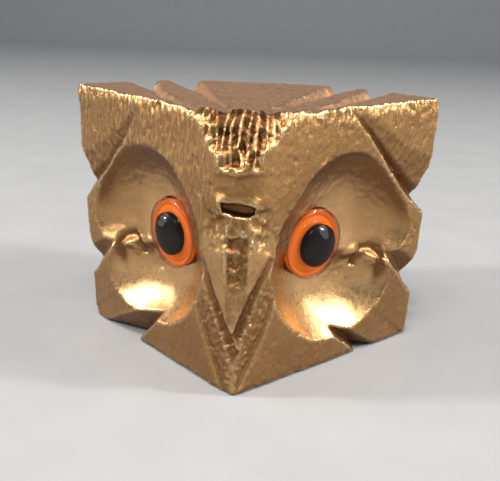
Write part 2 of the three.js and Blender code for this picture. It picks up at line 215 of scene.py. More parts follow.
class Map:
    """A depth map over (a, b), sampled with straight-line blending."""

    def __init__(self, a0, a1, b0, b1):
        self.a0, self.b0 = a0, b0
        self.a = np.arange(a0, a1, STEP)
        self.b = np.arange(b0, b1, STEP)
        self.A, self.B = np.meshgrid(self.a, self.b, indexing="ij")
        self.v = np.zeros(self.A.shape)

    def __call__(self, a, b):
        fa = np.clip((a - self.a0) / STEP, 0, len(self.a) - 1.001)
        fb = np.clip((b - self.b0) / STEP, 0, len(self.b) - 1.001)
        ia, ib = fa.astype(np.int32), fb.astype(np.int32)
        ta, tb = fa - ia, fb - ib
        v = self.v
        return (v[ia, ib] * (1 - ta) + v[ia + 1, ib] * ta) * (1 - tb) + (v[ia, ib + 1] * (1 - ta) + v[ia + 1, ib + 1] * ta) * tb


SIDES = {
    "right": dict(
        sign=1,
        eye=(21.6, 24.2),
        upper=[(9.2, 25), (10, 29), (12, 32.3), (14.2, 35), (17, 38.2), (20, 40.2), (24, 41.6), (28, 41.8), (31, 41), (35, 38.6), (38, 36), (41, 33), (44, 29.4), (45.4, 26), (45.4, 23.3), (43.6, 20.8), (40, 18.6), (34, 17), (27, 16), (20, 16.5), (13, 19), (9.6, 22)],
        lower=[(8.9, 22), (9.1, 19), (9.8, 16), (11, 13.5), (12.9, 11), (15.1, 9), (18, 7), (21, 5.8), (25, 5.3), (29, 5.9), (33, 7), (36, 8.5), (38.9, 11.2), (40.2, 14.2), (39.6, 18), (37.5, 21), (33, 23.5), (27, 25), (20, 26), (12.5, 25.2)],
        low_mid=(25.5, 14.6),
        ear=[(27, 48.5), (31, 45.5), (36, 41), (40, 37), (45, 32.6), (47.5, 31), (53, 27.6)],
        ear_depth=table((0, 0.2), (0.2, 1.4), (0.7, 3.0), (1, 3.7)),
        ear_slope=table((0, 0.1), (0.2, 0.5), (0.7, 1.5), (1, 2.0)),
        ear_up=table((0, 0.5), (0.3, 3.2), (0.7, 7.0), (1, 7.5)),
        ear_low=table((0, 0.4), (0.3, 1.1), (0.7, 1.9), (1, 2.1)),
        cheek_depth=table((0, 0.7), (0.6, 2.5), (1, 3.2)),
        foot_depth=table((0, 1.2), (0.5, 2.4), (1, 3.2)),
        foot_up=table((0, 1.1), (0.5, 1.6), (1, 2.3)),
        cheek=[(37.4, 21.9), (45.8, 14.7), (51, 10.3)],
        foot=[(21.5, 9.6), (26, 6.4), (32, 2.2), (36.5, -1.2)],
        beak=[(8.6, 24.6), (5, 18), (0.9, 10.4)],
        band=[(10.4, 18.6), (5.5, 9), (0.8, 0.6)],
        cere=[(2.4, 34.0), (8.8, 29.2)],
        seed=11,
    ),
    "left": dict(
        sign=-1,
        eye=(22.7, 24.6),
        upper=[(9.6, 25), (10.2, 29), (12, 33), (14.6, 36), (17.2, 38.4), (20.2, 40.2), (24, 41.2), (28, 41.2), (32, 40.4), (35.6, 38.5), (38, 36.9), (40.4, 34.6), (43.2, 31), (45.2, 27), (45.6, 24), (44.4, 21), (41, 18.4), (34, 16.6), (27, 16), (20, 16.5), (13.5, 19), (10, 22)],
        lower=[(9.4, 22), (9.7, 18.6), (10.6, 16.2), (12, 14), (14, 11.2), (17, 9), (20, 7.6), (24, 6.9), (28, 6.6), (32, 6.6), (36, 7.4), (39, 9), (41.2, 12), (41.3, 15), (40, 18.4), (37.5, 21), (33, 23.3), (27, 25), (20, 26), (12.8, 25.2)],
        low_mid=(26, 14.3),
        ear=[(29.5, 46.8), (32, 44.6), (35, 41.2), (41, 35.8), (46, 32), (49, 29.4), (54, 25.5)],
        ear_depth=table((0, 0.1), (0.2, 0.8), (0.7, 2.0), (1, 2.6)),
        ear_slope=table((0, 0.1), (0.2, 0.5), (0.7, 1.3), (1, 1.7)),
        ear_up=table((0, 0.5), (0.3, 2.6), (0.7, 5.4), (1, 6.0)),
        ear_low=table((0, 0.3), (0.3, 0.9), (0.7, 1.8), (1, 2.1)),
        cheek_depth=table((0, 0.6), (0.6, 2.2), (1, 2.8)),
        foot_depth=table((0, 1.6), (0.5, 3.2), (1, 4.4)),
        foot_up=table((0, 2.2), (0.5, 3.6), (1, 4.8)),
        cheek=[(38.6, 20.0), (47, 13.3), (52, 9.4)],
        foot=[(22.5, 9.2), (26, 6.0), (30.5, 2.2), (36, -1.3)],
        beak=[(9.4, 24.0), (6.5, 17.5), (1.6, 9.4)],
        band=[(10.6, 15), (6, 5.6), (2.2, -0.6)],
        cere=[(2.4, 34.2), (8.8, 29.6)],
        seed=41,
    ),
}
CENTRE = (28.5, 27.5)


def front_map(c):
    m = Map(-6, 58, -3, 54)
    u0, z0 = m.A, m.B
    seed = c["seed"]
    left = c["sign"] < 0
    # Hand-cut lines wander a little.
    u = u0 + 0.42 * fbm(u0 / 7, z0 / 7, seed + 90, 2) + 0.14 * fbm(u0 / 1.7, z0 / 1.7, seed + 91, 2)
    z = z0 + 0.42 * fbm(u0 / 7, z0 / 7, seed + 92, 2) + 0.14 * fbm(u0 / 1.7, z0 / 1.7, seed + 93, 2)
    su = u0 + 0.25 * fbm(u0 / 9, z0 / 9, seed + 94, 2)
    sz = z0 + 0.25 * fbm(u0 / 9, z0 / 9, seed + 95, 2)
    s_up = bowl_share(su, sz, c["upper"], CENTRE)
    s_lo = bowl_share(su, sz, c["lower"], c["low_mid"])
    up = 4.3 * (1 - s_up**2.8)
    lo = 5.4 * (1 - s_lo**2.4) * np.clip(1 + 0.036 * (sz - c["low_mid"][1]) - 0.012 * (su - 24), 0.55, 1.4)
    soft = 0.25 + 2.4 * smooth(25, 13, u0)
    bowls = smax(up, lo, soft)
    inside = smooth(0.0, 0.5, bowls)
    # Ear: a broad shallow slope above a narrow deep groove.
    t, q = polyline(u, z, c["ear"])
    ear_slope = chip(u, z, c["ear"], c["ear_slope"], c["ear_up"], table((0, 0.4), (1, 1.0)), (0.2, 0))
    ear_core = chip(u, z, c["ear"], c["ear_depth"], table((0, 0.3), (0.4, 1.6), (1, 3.2)), c["ear_low"], (0.2, 0))
    fringe = scallops(t * 30 + q * 0.25, q * 0.5, 1.0, 3.0, seed + 60, 0.9, 0.4)
    fringed = (ear_slope > 0) & (q > 0)
    ear = np.maximum(ear_slope, ear_core)
    cheek = chip(u, z, c["cheek"], c["cheek_depth"], table((0, 1.2), (0.6, 3.2), (1, 4.2)), table((0, 0.8), (0.6, 1.9), (1, 2.4)), (0.15, 0))
    foot = chip(u, z, c["foot"], c["foot_depth"], c["foot_up"], table((0, 0.9), (0.5, 1.4), (1, 1.8)), (0.15, 0))
    beak = chip(u, z, c["beak"], table((0, 0.3), (0.4, 0.95), (1, 1.7)), table((0, 0.8), (1, 1.2)), table((0, 1.3), (1, 2.6)), (0.1, 0))
    cere = chip(u, z, c["cere"], table((0, 0.8), (1, 0.2)), table((0, 0.7), (1, 0.6)), table((0, 4.6), (1, 2.4)), (0.3, 0))
    tb, qb = polyline(u, z, c["band"])
    _tg, qg = polyline(u, z, c["beak"])
    band = smooth(-0.5, 0.5, -qb) * smooth(-1.4, 0.1, qg) * smooth(1.12, 0.9, tb) * smooth(-0.2, 0.15, tb)
    outline = np.exp(-((qb / 0.45) ** 2)) * smooth(1.1, 0.9, tb) * smooth(-0.05, 0.2, tb)
    d = np.maximum.reduce([np.maximum(bowls, 0), ear, cheek, foot, beak, cere])
    d = np.maximum(d, band * 0.22 + 0.30 * outline)
    # The beak side keeps its edges; towards the ear everything is softer.
    near = blur(d, 0.16)
    far = blur(d, 0.32)
    keep = np.clip(smooth(30, 20, u0) + smooth(20, 14, z0) * 0.4 + (ear_core > -0.5) + (foot > -0.5), 0, 1)
    d = near * keep + far * (1 - keep)
    # Fish-scale nicks in the band beside the beak.
    nicks = scallops(qb * 0.6 + 0.5 * fbm(u0, z0, seed + 21, 2), tb * 24, 1.15, 1.0, seed + 20, 0.9, 0.4)
    d = d + band * (0.30 * nicks + 0.10 * fbm(u0 / 0.8, z0 / 0.8, seed + 22, 2))
    # Fringe of brush cuts, and scooped dimples in the broken ridge between the bowls.
    d = d + 0.17 * fringe * blur(fringed.astype(float), 0.3)
    ridge = smooth(25, 29, u0) * smooth(41.5, 38, u0) * smooth(13.5, 17, z0) * smooth(23.8, 20.6, z0)
    d = d + ridge * (0.27 * scallops(u0, z0, 2.6, 1.8, seed + 30, 0.95) + 0.12 * scallops(u0, z0, 1.15, 1.35, seed + 31) + 0.13 * fbm(u0 / 1.5, z0 / 1.5, seed + 32, 3)) * inside
    # A curved scar where the gouge left the lower bowl, near its outer rim.
    scar_r = np.hypot((u0 - 36.2) / 1.0, (z0 - 17.6) / 1.25)
    scar_a = np.arctan2(z0 - 17.6, u0 - 36.2)
    scar = np.exp(-(((scar_r - 2.6 + 0.25 * fbm(u0, z0, seed + 40, 2)) / 0.85) ** 2)) * smooth(2.9, 1.6, np.abs(scar_a - 1.2))
    d = d + 0.60 * scar * inside
    # Surface: short gouges running down from the brow, finer grain lower, worn bowls.
    flat = 1 - inside
    tall = 2.7 if left else 2.0
    strokes = scallops(u0 + 0.07 * (z0 - 40), z0, 0.72, tall, seed + 1, 0.95, 0.5)
    grain = scallops(u0, z0, 0.95, 1.15, seed + 2, 0.95, 0.5)
    brow = smooth(24, 38, z0) * (smooth(0, 9, u0) * 0.8 + 0.2) if left else smooth(40, 50, z0) * 0.7
    pits = np.clip(scallops(u0, z0, 1.7, 1.6, seed + 9, 0.95, 0.5) - 0.72, 0, 1)
    uneven = fbm(u0 / 4, z0 / 4, seed + 4, 3)
    d = d + flat * (brow * 0.25 * strokes + (1 - 0.6 * brow) * 0.075 * grain + 0.16 * uneven + 0.5 * pits)
    chips = smooth(0.5, 1.6, u0) * smooth(9.2, 7.2, u0) * smooth(27.0, 29.0, z0 + 0.25 * u0) * smooth(34.4, 33.2, z0)
    d = d + chips * (0.52 * scallops(u0, z0, 2.0, 2.6, seed + 12, 0.95, 0.4) + 0.16 * scallops(u0, z0, 0.9, 1.2, seed + 13, 0.95, 0.5))
    d = d + inside * (0.12 * fbm(u0 / 4.2, z0 / 4.2, seed + 5, 2) + 0.035 * scallops(u0, z0, 1.9, 1.5, seed + 6, 0.9, 0.5))
    turn = np.arctan2(z0 - CENTRE[1], u0 - CENTRE[0]) * 9
    marks = scallops(turn, s_up * 11, 2.0, 1.0, seed + 50, 0.95, 0.5) * smooth(0.35, 0.6, s_up) * smooth(19, 23, z0)
    d = d + 0.09 * marks * inside
    # Nicked crown edge.
    lip = smooth(47.6, 50.2, z0 + 1.3 * fbm(u0 / 1.1, z0 / 3, seed + 8, 2))
    d = d + lip * (0.14 + 0.48 * scallops(u0, z0, 1.1, 2.2, seed + 7, 0.95, 0.4))
    # Worn foot edge.
    d = d + smooth(1.8, 0.0, z0) * (0.3 + 0.25 * fbm(u0 / 1.6, z0, seed + 10, 2))
    m.v = d
    side = 0.55 * smooth(-0.3, -1.2, qg) * smooth(31, 28, z0) * smooth(9.6, 8.4, u0) * (1 - band)
    m.inside = np.maximum(inside, side)
    # Painted shade: groove cores, the top wall of the upper bowls under the brow, the ridge and scar, the lower bowls'
    # outer walls, the nicked band, and the faces darker towards the bottom.
    groove_shade = smooth(0.2, 1.6, ear_core) + smooth(0.2, 1.4, cheek) * 0.7 + smooth(0.3, 1.6, foot) + smooth(0.1, 1.0, beak)
    bowl_top_shadow = smooth(3.0, 0.5, up) * inside * smooth(22, 31, z0)
    low_wall_shade = smooth(0.80, 0.97, s_lo) * inside * smooth(30, 35, u0) * smooth(8, 12, z0)
    m.patina = np.clip(0.45 * band + 0.8 * groove_shade + 0.75 * bowl_top_shadow + 0.35 * ridge + 0.95 * scar * inside + 0.45 * low_wall_shade + 0.30 * flat * smooth(19, 9, z0) * smooth(1, 6, u0), 0, 1)
    return m


def crown_map():
    """Depth below the crown, over (x, y)."""
    m = Map(-40, 40, -40, 40)
    x0, y0 = m.A, m.B
    x = x0 + 0.4 * fbm(x0 / 6, y0 / 6, 310, 2) + 0.14 * fbm(x0 / 1.6, y0 / 1.6, 311, 2)
    y = y0 + 0.4 * fbm(x0 / 6, y0 / 6, 312, 2)
    d = np.zeros(x.shape)
    for points, depth, broad in (
        ([(0.2, -34), (2.9, -31.4), (8.6, -10), (11.4, 1.4), (16.2, 17), (18, 24)], table((0, 0.3), (0.4, 1.3), (1, 2.7)), 6.4),
        ([(8.6, -30), (12, -22), (15.7, -14.3), (20, 0), (23.4, 10), (26, 17)], table((0, 0.3), (0.4, 1.2), (1, 2.4)), 5.6),
        ([(-0.4, -34), (-4.3, -20.7), (-9.3, -2.9), (-15, 16.5), (-16.4, 24)], table((0, 0.3), (0.4, 1.3), (1, 2.7)), 6.4),
        ([(-5.7, -31.4), (-11.4, -20.7), (-16.4, -9.3), (-19.6, -2.1), (-22, 8.6), (-25.5, 16)], table((0, 0.3), (0.4, 1.2), (1, 2.4)), 5.6),
    ):
        sign = 1 if points[-1][0] > 0 else -1
        wide, thin = table((0, 1.6), (1, broad)), table((0, 0.6), (1, 1.5))
        # The outer flank is the broad one.
        left, right = (thin, wide) if sign > 0 else (wide, thin)
        d = np.maximum(d, chip(x, y, points, depth, left, right))
    d = np.maximum(d, 0)
    grooves = smooth(0.6, 2.2, d)
    # Feather barbs: fine strokes that lean away from the middle.
    lean = np.where(x > 0, 0.33, -0.33)
    along = x - lean * (y + 34)
    strokes = scallops(along, y, 0.9, 5.0, 301)
    d = blur(d, 0.2) + 0.16 * strokes + 0.09 * scallops(x, y, 0.95, 1.3, 302, 0.95, 0.5) + 0.16 * fbm(x / 3, y / 3, 303, 3)
    d = d + 1.7 * smooth(14, 36, y) * 1.15
    m.v = np.maximum(d, 0.03)
    # Painted shade in the feather grooves.
    m.patina = 0.75 * grooves
    return m


def back_map(seed):
    """Depth below a back face, over (distance from the ear edge, height)."""
    m = Map(-6, 58, -3, 54)
    u0, z0 = m.A, m.B
    u = u0 + 0.4 * fbm(u0 / 6, z0 / 6, seed + 10, 2) + 0.14 * fbm(u0 / 1.6, z0 / 1.6, seed + 11, 2)
    z = z0 + 0.4 * fbm(u0 / 6, z0 / 6, seed + 12, 2)
    d = np.zeros(u.shape)
    for points, depth, broad in (
        ([(39, 4), (34, 22), (26.6, 52)], table((0, 0.2), (1, 2.3)), 6.5),
        ([(28, 8), (22.5, 27), (15.0, 52)], table((0, 0.2), (1, 2.1)), 6.0),
        ([(16, 17.5), (8, 23.8), (-1.5, 31)], table((0, 0.2), (1, 2.7)), 5.6),
        ([(14, 4), (6, 9.0), (-1.5, 14)], table((0, 0.2), (1, 2.7)), 5.0),
    ):
        upright = points[-1][1] > 50
        wide = table((0, 1.4), (1, broad))
        thin = table((0, 0.5), (1, 1.5 if upright else 2.0))
        left, right = (thin, wide) if not upright else (thin, wide)
        d = np.maximum(d, chip(u, z, points, depth, left, right, (0.15, 0)))
    d = np.maximum(d, 0)
    grooves = smooth(0.5, 2.0, d)
    strokes = scallops(u + 0.28 * z, z, 1.05, 5.0, seed + 1)
    d = blur(d, 0.2) + 0.18 * strokes + 0.09 * scallops(u, z, 0.95, 1.3, seed + 2, 0.95, 0.5) + 0.15 * fbm(u / 4, z / 4, seed + 3, 3)
    d = d + smooth(48.2, 50.2, z) * (0.1 + 0.4 * scallops(u, z, 1.5, 2.2, seed + 7))
    d = d + smooth(1.6, 0.0, z) * 0.3
    m.v = d
    # Painted shade in the grooves, plus random darker blotches.
    m.patina = np.clip(0.85 * grooves + 0.25 * smooth(0.2, 0.7, fbm(u0 / 6, z0 / 6, seed + 30, 3)), 0, 1)
    return m


def edge_map():
    """Cut-back of the front upright edge, over (x, height)."""
    m = Map(-20, 20, -3, 54)
    x, z = m.A, m.B
    profile = np.array([(-3, 1.1), (5, 0.9), (9, 0.45), (15, 0.45), (20, 0.9), (25, 1.6), (30, 2.4), (32.4, 2.9), (36.4, 2.6), (38.4, 2.2), (40.4, 2.1), (42.2, 3.0), (44.5, 4.3), (47.5, 6.1), (49, 7.6), (50.3, 9.6), (54, 14)])
    d = np.interp(z, profile[:, 0], profile[:, 1])
    wx = x + 0.3 * fbm(x / 1.5, z / 1.5, 210, 2)
    wz = z + 0.3 * fbm(x / 1.5, z / 1.5, 211, 2) + 0.10 * x
    slot = smooth(32.95, 33.5, wz) * smooth(35.1, 34.7, wz) * smooth(3.1, 2.6, np.abs(wx - 0.1))
    d = blur(d + 1.9 * slot, 0.14)
    # The tuft: upright flutes, each a stack of steep bites with a short ledge on top.
    for flute, tall, seed, gain in ((1.3, 4.4, 201, 1.0), (0.9, 2.4, 221, 0.5)):
        fx = x / flute + 0.55 * fbm(x / 2, z / 4.5, seed, 2)
        fi = np.floor(fx)
        across = 1 - (2 * (fx - fi) - 1) ** 2
        t = (z - 40.6 + 0.5 * np.abs(x)) / tall + _hash(fi, fi * 0, seed + 1) + 0.10 * fbm(x, z / 2, seed + 2, 2)
        ledge = np.floor(t) + smooth(0.70, 1.0, t - np.floor(t))
        stepped = (ledge - t + 0.5) * tall * 0.36
        size = 0.5 + 0.5 * _hash(fi, np.floor(t), seed + 3)
        ragged = 1.9 * (_hash(fi, fi * 0, seed + 4) - 0.5) * 2
        tuft = smooth(41.3, 41.7, z - 0.10 * np.abs(x) + ragged) * smooth(51.5, 49.4, z)
        if tall > 4:
            trough = smooth(0.35, 0.8, across)
        d = d + gain * tuft * (size * (0.62 * across + 0.18) + 0.8 * stepped)
    # Small scoops on the forehead between the tuft and the slot.
    d = d + smooth(36, 37, z) * smooth(43, 41, z) * 0.22 * scallops(x, z, 1.7, 1.9, 207, 0.95, 0.5)
    # Chipped facets under the slot and the rough strip down the beak's ridge.
    cere = smooth(26.8, 28.6, z + 0.5 * np.abs(x)) * smooth(33.4, 32.6, z)
    d = d + cere * (0.74 * scallops(x, z, 1.5, 2.6, 203, 0.95, 0.4) - 0.12)
    strip = smooth(19, 22, z) * smooth(29.6, 28.4, z) * smooth(2.2, 1.4, np.abs(x - 0.3))
    d = d + strip * (0.45 + 0.6 * scallops(x, z, 1.0, 1.1, 204, 0.95, 0.5))
    rest = smooth(21, 18, z)
    d = d + rest * 0.2 * scallops(x, z, 1.1, 1.5, 205, 0.95, 0.5) + 0.07 * fbm(x / 2, z / 2, 206, 2)
    m.v = d
    # Painted shade over the tuft, deepest in the flute troughs, with scattered lighter spots as painted glints; painted
    # shade also in the slot, along the beak's strip and darker towards the bottom.
    half = 3.3 + 0.43 * (z - 41.5)
    tuft_shade = smooth(40.5, 42, z) * smooth(0.98 * half, 0.66 * half, np.abs(x - 0.1)) * smooth(50.8, 49.4, z)
    column = np.floor(x / 0.9)
    tuft_shade *= np.where(_hash(column, np.floor(z / 2.2 + _hash(column, column * 0, 242)), 241) > 0.84, 0.3, 1.0)
    tuft_shade *= 0.45 + 1.15 * trough
    m.patina = np.maximum(np.clip(slot + 0.9 * strip + 0.35 * rest, 0, 1), tuft_shade)
    return m


FRONTS = {name: front_map(c) for name, c in SIDES.items()}
CROWN = crown_map()
BACKS = {1: back_map(501), -1: back_map(601)}
EDGE = edge_map()
BACK_EDGE = np.array([(-3, 1.6), (10, 1.7), (30, 1.8), (44, 2.1), (50, 5.2), (54, 8.0)])


def field(x, y, z, parts=False):
    """Positive inside the carved block. With parts, the number of the surface that's nearest as well."""
    h = hd(z)
    values = []
    for name, c in SIDES.items():
        s = c["sign"]
        values.append((h - (s * x - y)) / S2 - FRONTS[name]((s * x + y + h) / S2, z))
    values.append(h + y - EDGE(x, z))
    k = 0.35 + 2.6 * smooth(34.6, 37.2, z) * smooth(42.0, 39.2, z) + 0.5 * smooth(31, 28, z) * smooth(8, 14, z)
    front = -smax(-values[0], -values[1], k)
    values[2] = -smax(-front, -values[2], k)
    values.append(H - z - CROWN(x, y))
    for s in (1, -1):
        values.append((h - (s * x + y)) / S2 - BACKS[s]((h - s * x + y) / S2, z))
    values.append(h - y - np.interp(z, BACK_EDGE[:, 0], BACK_EDGE[:, 1]))
    values = np.stack(values)
    if parts:
        return values.min(axis=0), values.argmin(axis=0)
    return values.min(axis=0)


# ------------------------------------------------------------------ surface from the field
def surface(step):
    """The field's zero surface as quads, one vertex to a crossed cell, moved onto the surface."""
    lo = np.array([-38.0, -36.0, -2.0])
    n = np.ceil((np.array([38.0, 36.0, 51.2]) - lo) / step).astype(int) + 1
    xs, ys, zs = (lo[i] + step * np.arange(n[i]) for i in range(3))
    grid = np.empty(n, np.float32)
    for k in range(0, n[2], 24):
        X, Y, Z = np.meshgrid(xs, ys, zs[k : k + 24], indexing="ij")
        grid[:, :, k : k + 24] = field(X, Y, Z)
    grid[:, :, 0] = -1
    inside = grid > 0
    total = np.zeros(tuple(n - 1) + (3,), np.float32)
    count = np.zeros(tuple(n - 1), np.float32)
    edges = []
    for axis in range(3):
        a = [slice(None)] * 3
        b = [slice(None)] * 3
        a[axis], b[axis] = slice(0, -1), slice(1, None)
        va, vb = grid[tuple(a)], grid[tuple(b)]
        crossed = inside[tuple(a)] != inside[tuple(b)]
        where = np.argwhere(crossed)
        ga, gb = va[crossed], vb[crossed]
        point = where.astype(np.float32)
        point[:, axis] += ga / (ga - gb)
        others = [i for i in range(3) if i != axis]
        for da in (0, 1):
            for db in (0, 1):
                cell = where.copy()
                cell[:, others[0]] -= da
                cell[:, others[1]] -= db
                ok = ((cell >= 0) & (cell < n - 1)).all(axis=1)
                c = cell[ok]
                np.add.at(total, (c[:, 0], c[:, 1], c[:, 2]), point[ok])
                np.add.at(count, (c[:, 0], c[:, 1], c[:, 2]), 1)
        edges.append((axis, others, where, ga > 0))
    used = np.argwhere(count > 0)
    index = np.full(tuple(n - 1), -1, np.int64)
    index[used[:, 0], used[:, 1], used[:, 2]] = np.arange(len(used))
    verts = total[used[:, 0], used[:, 1], used[:, 2]] / count[used[:, 0], used[:, 1], used[:, 2]][:, None]
    verts = verts * step + lo
    faces = []
    for axis, others, where, positive in edges:
        p, q = others
        corner = []
        for dp, dq in ((0, 0), (1, 0), (1, 1), (0, 1)):
            cell = where.copy()
            cell[:, p] -= dp
            cell[:, q] -= dq
            corner.append(cell)
        ok = np.ones(len(where), bool)
        for cell in corner:
            ok &= ((cell >= 0) & (cell < n - 1)).all(axis=1)
        ids = np.stack([index[c[ok][:, 0], c[ok][:, 1], c[ok][:, 2]] for c in corner], axis=1)
        flip = positive[ok] if axis != 1 else ~positive[ok]
        ids[~flip] = ids[~flip][:, ::-1]
        faces.append(ids)
    faces = np.concatenate(faces)
    # Onto the true surface.
    v = verts.astype(np.float64)
    e = 0.05
    for _ in range(3):
        f = field(*v.T)
        g = np.stack([(field(*(v + e * d).T) - field(*(v - e * d).T)) / (2 * e) for d in np.eye(3)], axis=1)
        size = np.maximum((g * g).sum(axis=1), 0.25)
        move = -(f / size)[:, None] * g
        length = np.linalg.norm(move, axis=1, keepdims=True)
        v += move * np.minimum(1, 0.35 * step / np.maximum(length, 1e-9))
    return v, faces


def new_object(name, verts, faces, smooth_shade=True):
    mesh = bpy.data.meshes.new(name)
    mesh.from_pydata([tuple(p) for p in verts], [], [tuple(f) for f in faces])
    mesh.validate()
    mesh.update()
    obj = bpy.data.objects.new(name, mesh)
    bpy.context.scene.collection.objects.link(obj)
    if smooth_shade:
        mesh.polygons.foreach_set("use_smooth", [True] * len(mesh.polygons))
    return obj


def fast_object(name, verts, quads):
    mesh = bpy.data.meshes.new(name)
    mesh.vertices.add(len(verts))
    mesh.vertices.foreach_set("co", np.ascontiguousarray(verts, np.float32).ravel())
    mesh.loops.add(quads.size)
    mesh.loops.foreach_set("vertex_index", np.ascontiguousarray(quads, np.int32).ravel())
    mesh.polygons.add(len(quads))
    mesh.polygons.foreach_set("loop_start", np.arange(0, quads.size, quads.shape[1], dtype=np.int32))
    mesh.polygons.foreach_set("use_smooth", np.ones(len(quads), bool))
    mesh.update(calc_edges=True)
    obj = bpy.data.objects.new(name, mesh)
    bpy.context.scene.collection.objects.link(obj)
    return obj


def prism(outline, z0, z1, top_scale=1.0, middle=(0, 0)):
    n = len(outline)
    lower = [(x, y, z0) for x, y in outline]
    upper = [(middle[0] + (x - middle[0]) * top_scale, middle[1] + (y - middle[1]) * top_scale, z1) for x, y in outline]
    faces = [tuple(range(n))[::-1], tuple(range(n, 2 * n))]
    faces += [(i, (i + 1) % n, n + (i + 1) % n, n + i) for i in range(n)]
    return lower + upper, faces


def rounded_diamond(inset, size, corner, per=8):
    """A square with rounded corners, turned 45 degrees, at inset from the two front faces."""
    mid = -H / S2 + (inset + size / 2) * S2
    half = size / 2
    pts = []
    for cx, cy, a0 in ((half - corner, -half + corner, -90), (half - corner, half - corner, 0), (-half + corner, half - corner, 90), (-half + corner, -half + corner, 180)):
        for k in range(per + 1):
            a = math.radians(a0 + 90 * k / per)
            px, py = cx + corner * math.cos(a), cy + corner * math.sin(a)
            pts.append(((px - py) / S2, mid + (px + py) / S2))
    return pts, (0.0, mid)


def cylinder(radius, z0, z1, n=96):
    ring = [(radius * math.cos(2 * math.pi * i / n), radius * math.sin(2 * math.pi * i / n)) for i in range(n)]
    return prism(ring, z0, z1)


def eye_matrix(c):
    """From the eye's own frame (axis +Z, floor of its seat at 0, mm) to the row frame in metres."""
    u, z = c["eye"]
    lean = (H_TOP - H_FOOT) / H / S2
    normal = Vector((c["sign"] / S2, -1 / S2, -lean)).normalized()
    on_face = Vector((c["sign"] * u / S2, -hd(z) + u / S2, z))
    turn = Vector((0, 0, 1)).rotation_difference(normal)
    place = on_face - normal * (2.8 + 2.9)
    return Matrix.Scale(MM, 4) @ Matrix.Translation(place) @ turn.to_matrix().to_4x4()


def boolean(target, cutter, operation):
    mod = target.modifiers.new("cut", "BOOLEAN")
    mod.operation = operation
    mod.object = cutter
    mod.solver = "MANIFOLD"
    dg = bpy.context.evaluated_depsgraph_get()
    mesh = bpy.data.meshes.new_from_object(target.evaluated_get(dg))
    target.modifiers.clear()
    old = target.data
    target.data = mesh
    bpy.data.meshes.remove(old)
    bpy.data.objects.remove(cutter, do_unlink=True)
    return len(mesh.polygons)


GRID = 0.36
verts, quads = surface(GRID)
casting = fast_object("casting_carved", verts * MM, quads)
print("surface", len(verts), len(quads))


def cut(cut_verts, cut_faces, operation="DIFFERENCE", matrix=Matrix.Scale(MM, 4)):
    cutter = new_object("cutter", [tuple(matrix @ Vector(p)) for p in cut_verts], cut_faces, False)
    before = len(casting.data.polygons)
    after = boolean(casting, cutter, operation)
    print("cut", before, after)


cut(*prism([(-60, -60), (60, -60), (60, 60), (-60, 60)], -10, 0.4))
for c in SIDES.values():
    cut(*cylinder(6.96, 0, 14), matrix=eye_matrix(c))
    cut(*cylinder(2.3, -3.7, 1, 40), matrix=eye_matrix(c))
outline, middle = rounded_diamond(11.5, 33, 5)
cut(*prism(outline, -1, 42, 0.9, middle))
outline, middle = rounded_diamond(8.6, 38, 4)
cut(*prism(outline, -1, 2.2))


def write_masks(obj):
    """Point attributes that the gilt finish reads: which surface, bowl and edge, and the painted shade in grooves,
    hollows and downward faces.
    """
    mesh = obj.data
    n = len(mesh.vertices)
    co = np.empty(n * 3, np.float32)
    mesh.vertices.foreach_get("co", co)
    p = co.reshape(-1, 3).astype(float) / MM
    x, y, z = p.T
    _f, part = field(x, y, z, parts=True)
    bowl, patina = np.zeros(n), np.zeros(n)
    for i, (name, c) in enumerate(SIDES.items()):
        m = FRONTS[name]
        u = (c["sign"] * x + y + hd(z)) / S2
        hold = m.v
        m.v = m.inside
        bowl = np.where(part == i, m(u, z), bowl)
        m.v = m.patina
        patina = np.where(part == i, m(u, z), patina)
        m.v = hold
    for i, m, a, b in ((2, EDGE, x, z), (3, CROWN, x, y), (4, BACKS[1], (hd(z) - x + y) / S2, z), (5, BACKS[-1], (hd(z) + x + y) / S2, z)):
        hold = m.v
        m.v = m.patina
        patina = np.where(part == i, m(a, b), patina)
        m.v = hold
    crown = (part == 3).astype(float)
    inner = (p[:, 2] < 42.5) & (_f > 1.5)
    # Hollow or proud against a soft copy of the surface.
    edges = np.empty(len(mesh.edges) * 2, np.int32)
    mesh.edges.foreach_get("vertices", edges)
    e = edges.reshape(-1, 2)
    normals = np.empty(n * 3, np.float32)
    mesh.vertices.foreach_get("normal", normals)
    normals = normals.reshape(-1, 3)
    soft = p.copy()
    deg = np.bincount(e.ravel(), minlength=n)[:, None]
    for _ in range(6):
        acc = np.zeros_like(soft)
        for k in range(3):
            acc[:, k] = np.bincount(e[:, 0], soft[e[:, 1], k], n) + np.bincount(e[:, 1], soft[e[:, 0], k], n)
        soft = 0.5 * soft + 0.5 * acc / np.maximum(deg, 1)
    proud = ((p - soft) * normals).sum(axis=1)
    proud = np.clip(proud / 0.16, -1, 1)
    # Painted shade mask: downward-facing surfaces plus the painted shade and stain maps, kept off the inner hollow.
    under = np.maximum(smooth(0.03, 0.50, -normals[:, 2]), patina) * ~inner
    for label, value in (("bowl", bowl), ("crown", crown), ("proud", proud), ("under", under)):
        att = mesh.attributes.new(label, "FLOAT", "POINT")
        att.data.foreach_set("value", value.astype(np.float32))


write_masks(casting)
casting.data.polygons.foreach_set("use_smooth", np.ones(len(casting.data.polygons), bool))
# Crisp shading on the machined seats, the foot and the hollow.
bm = bmesh.new()
bm.from_mesh(casting.data)
for edge in bm.edges:
    if len(edge.link_faces) == 2 and edge.calc_face_angle(0.0) > math.radians(62):
        edge.smooth = False
bm.to_mesh(casting.data)
bm.free()
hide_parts("owl_casting")
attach(casting, "root")


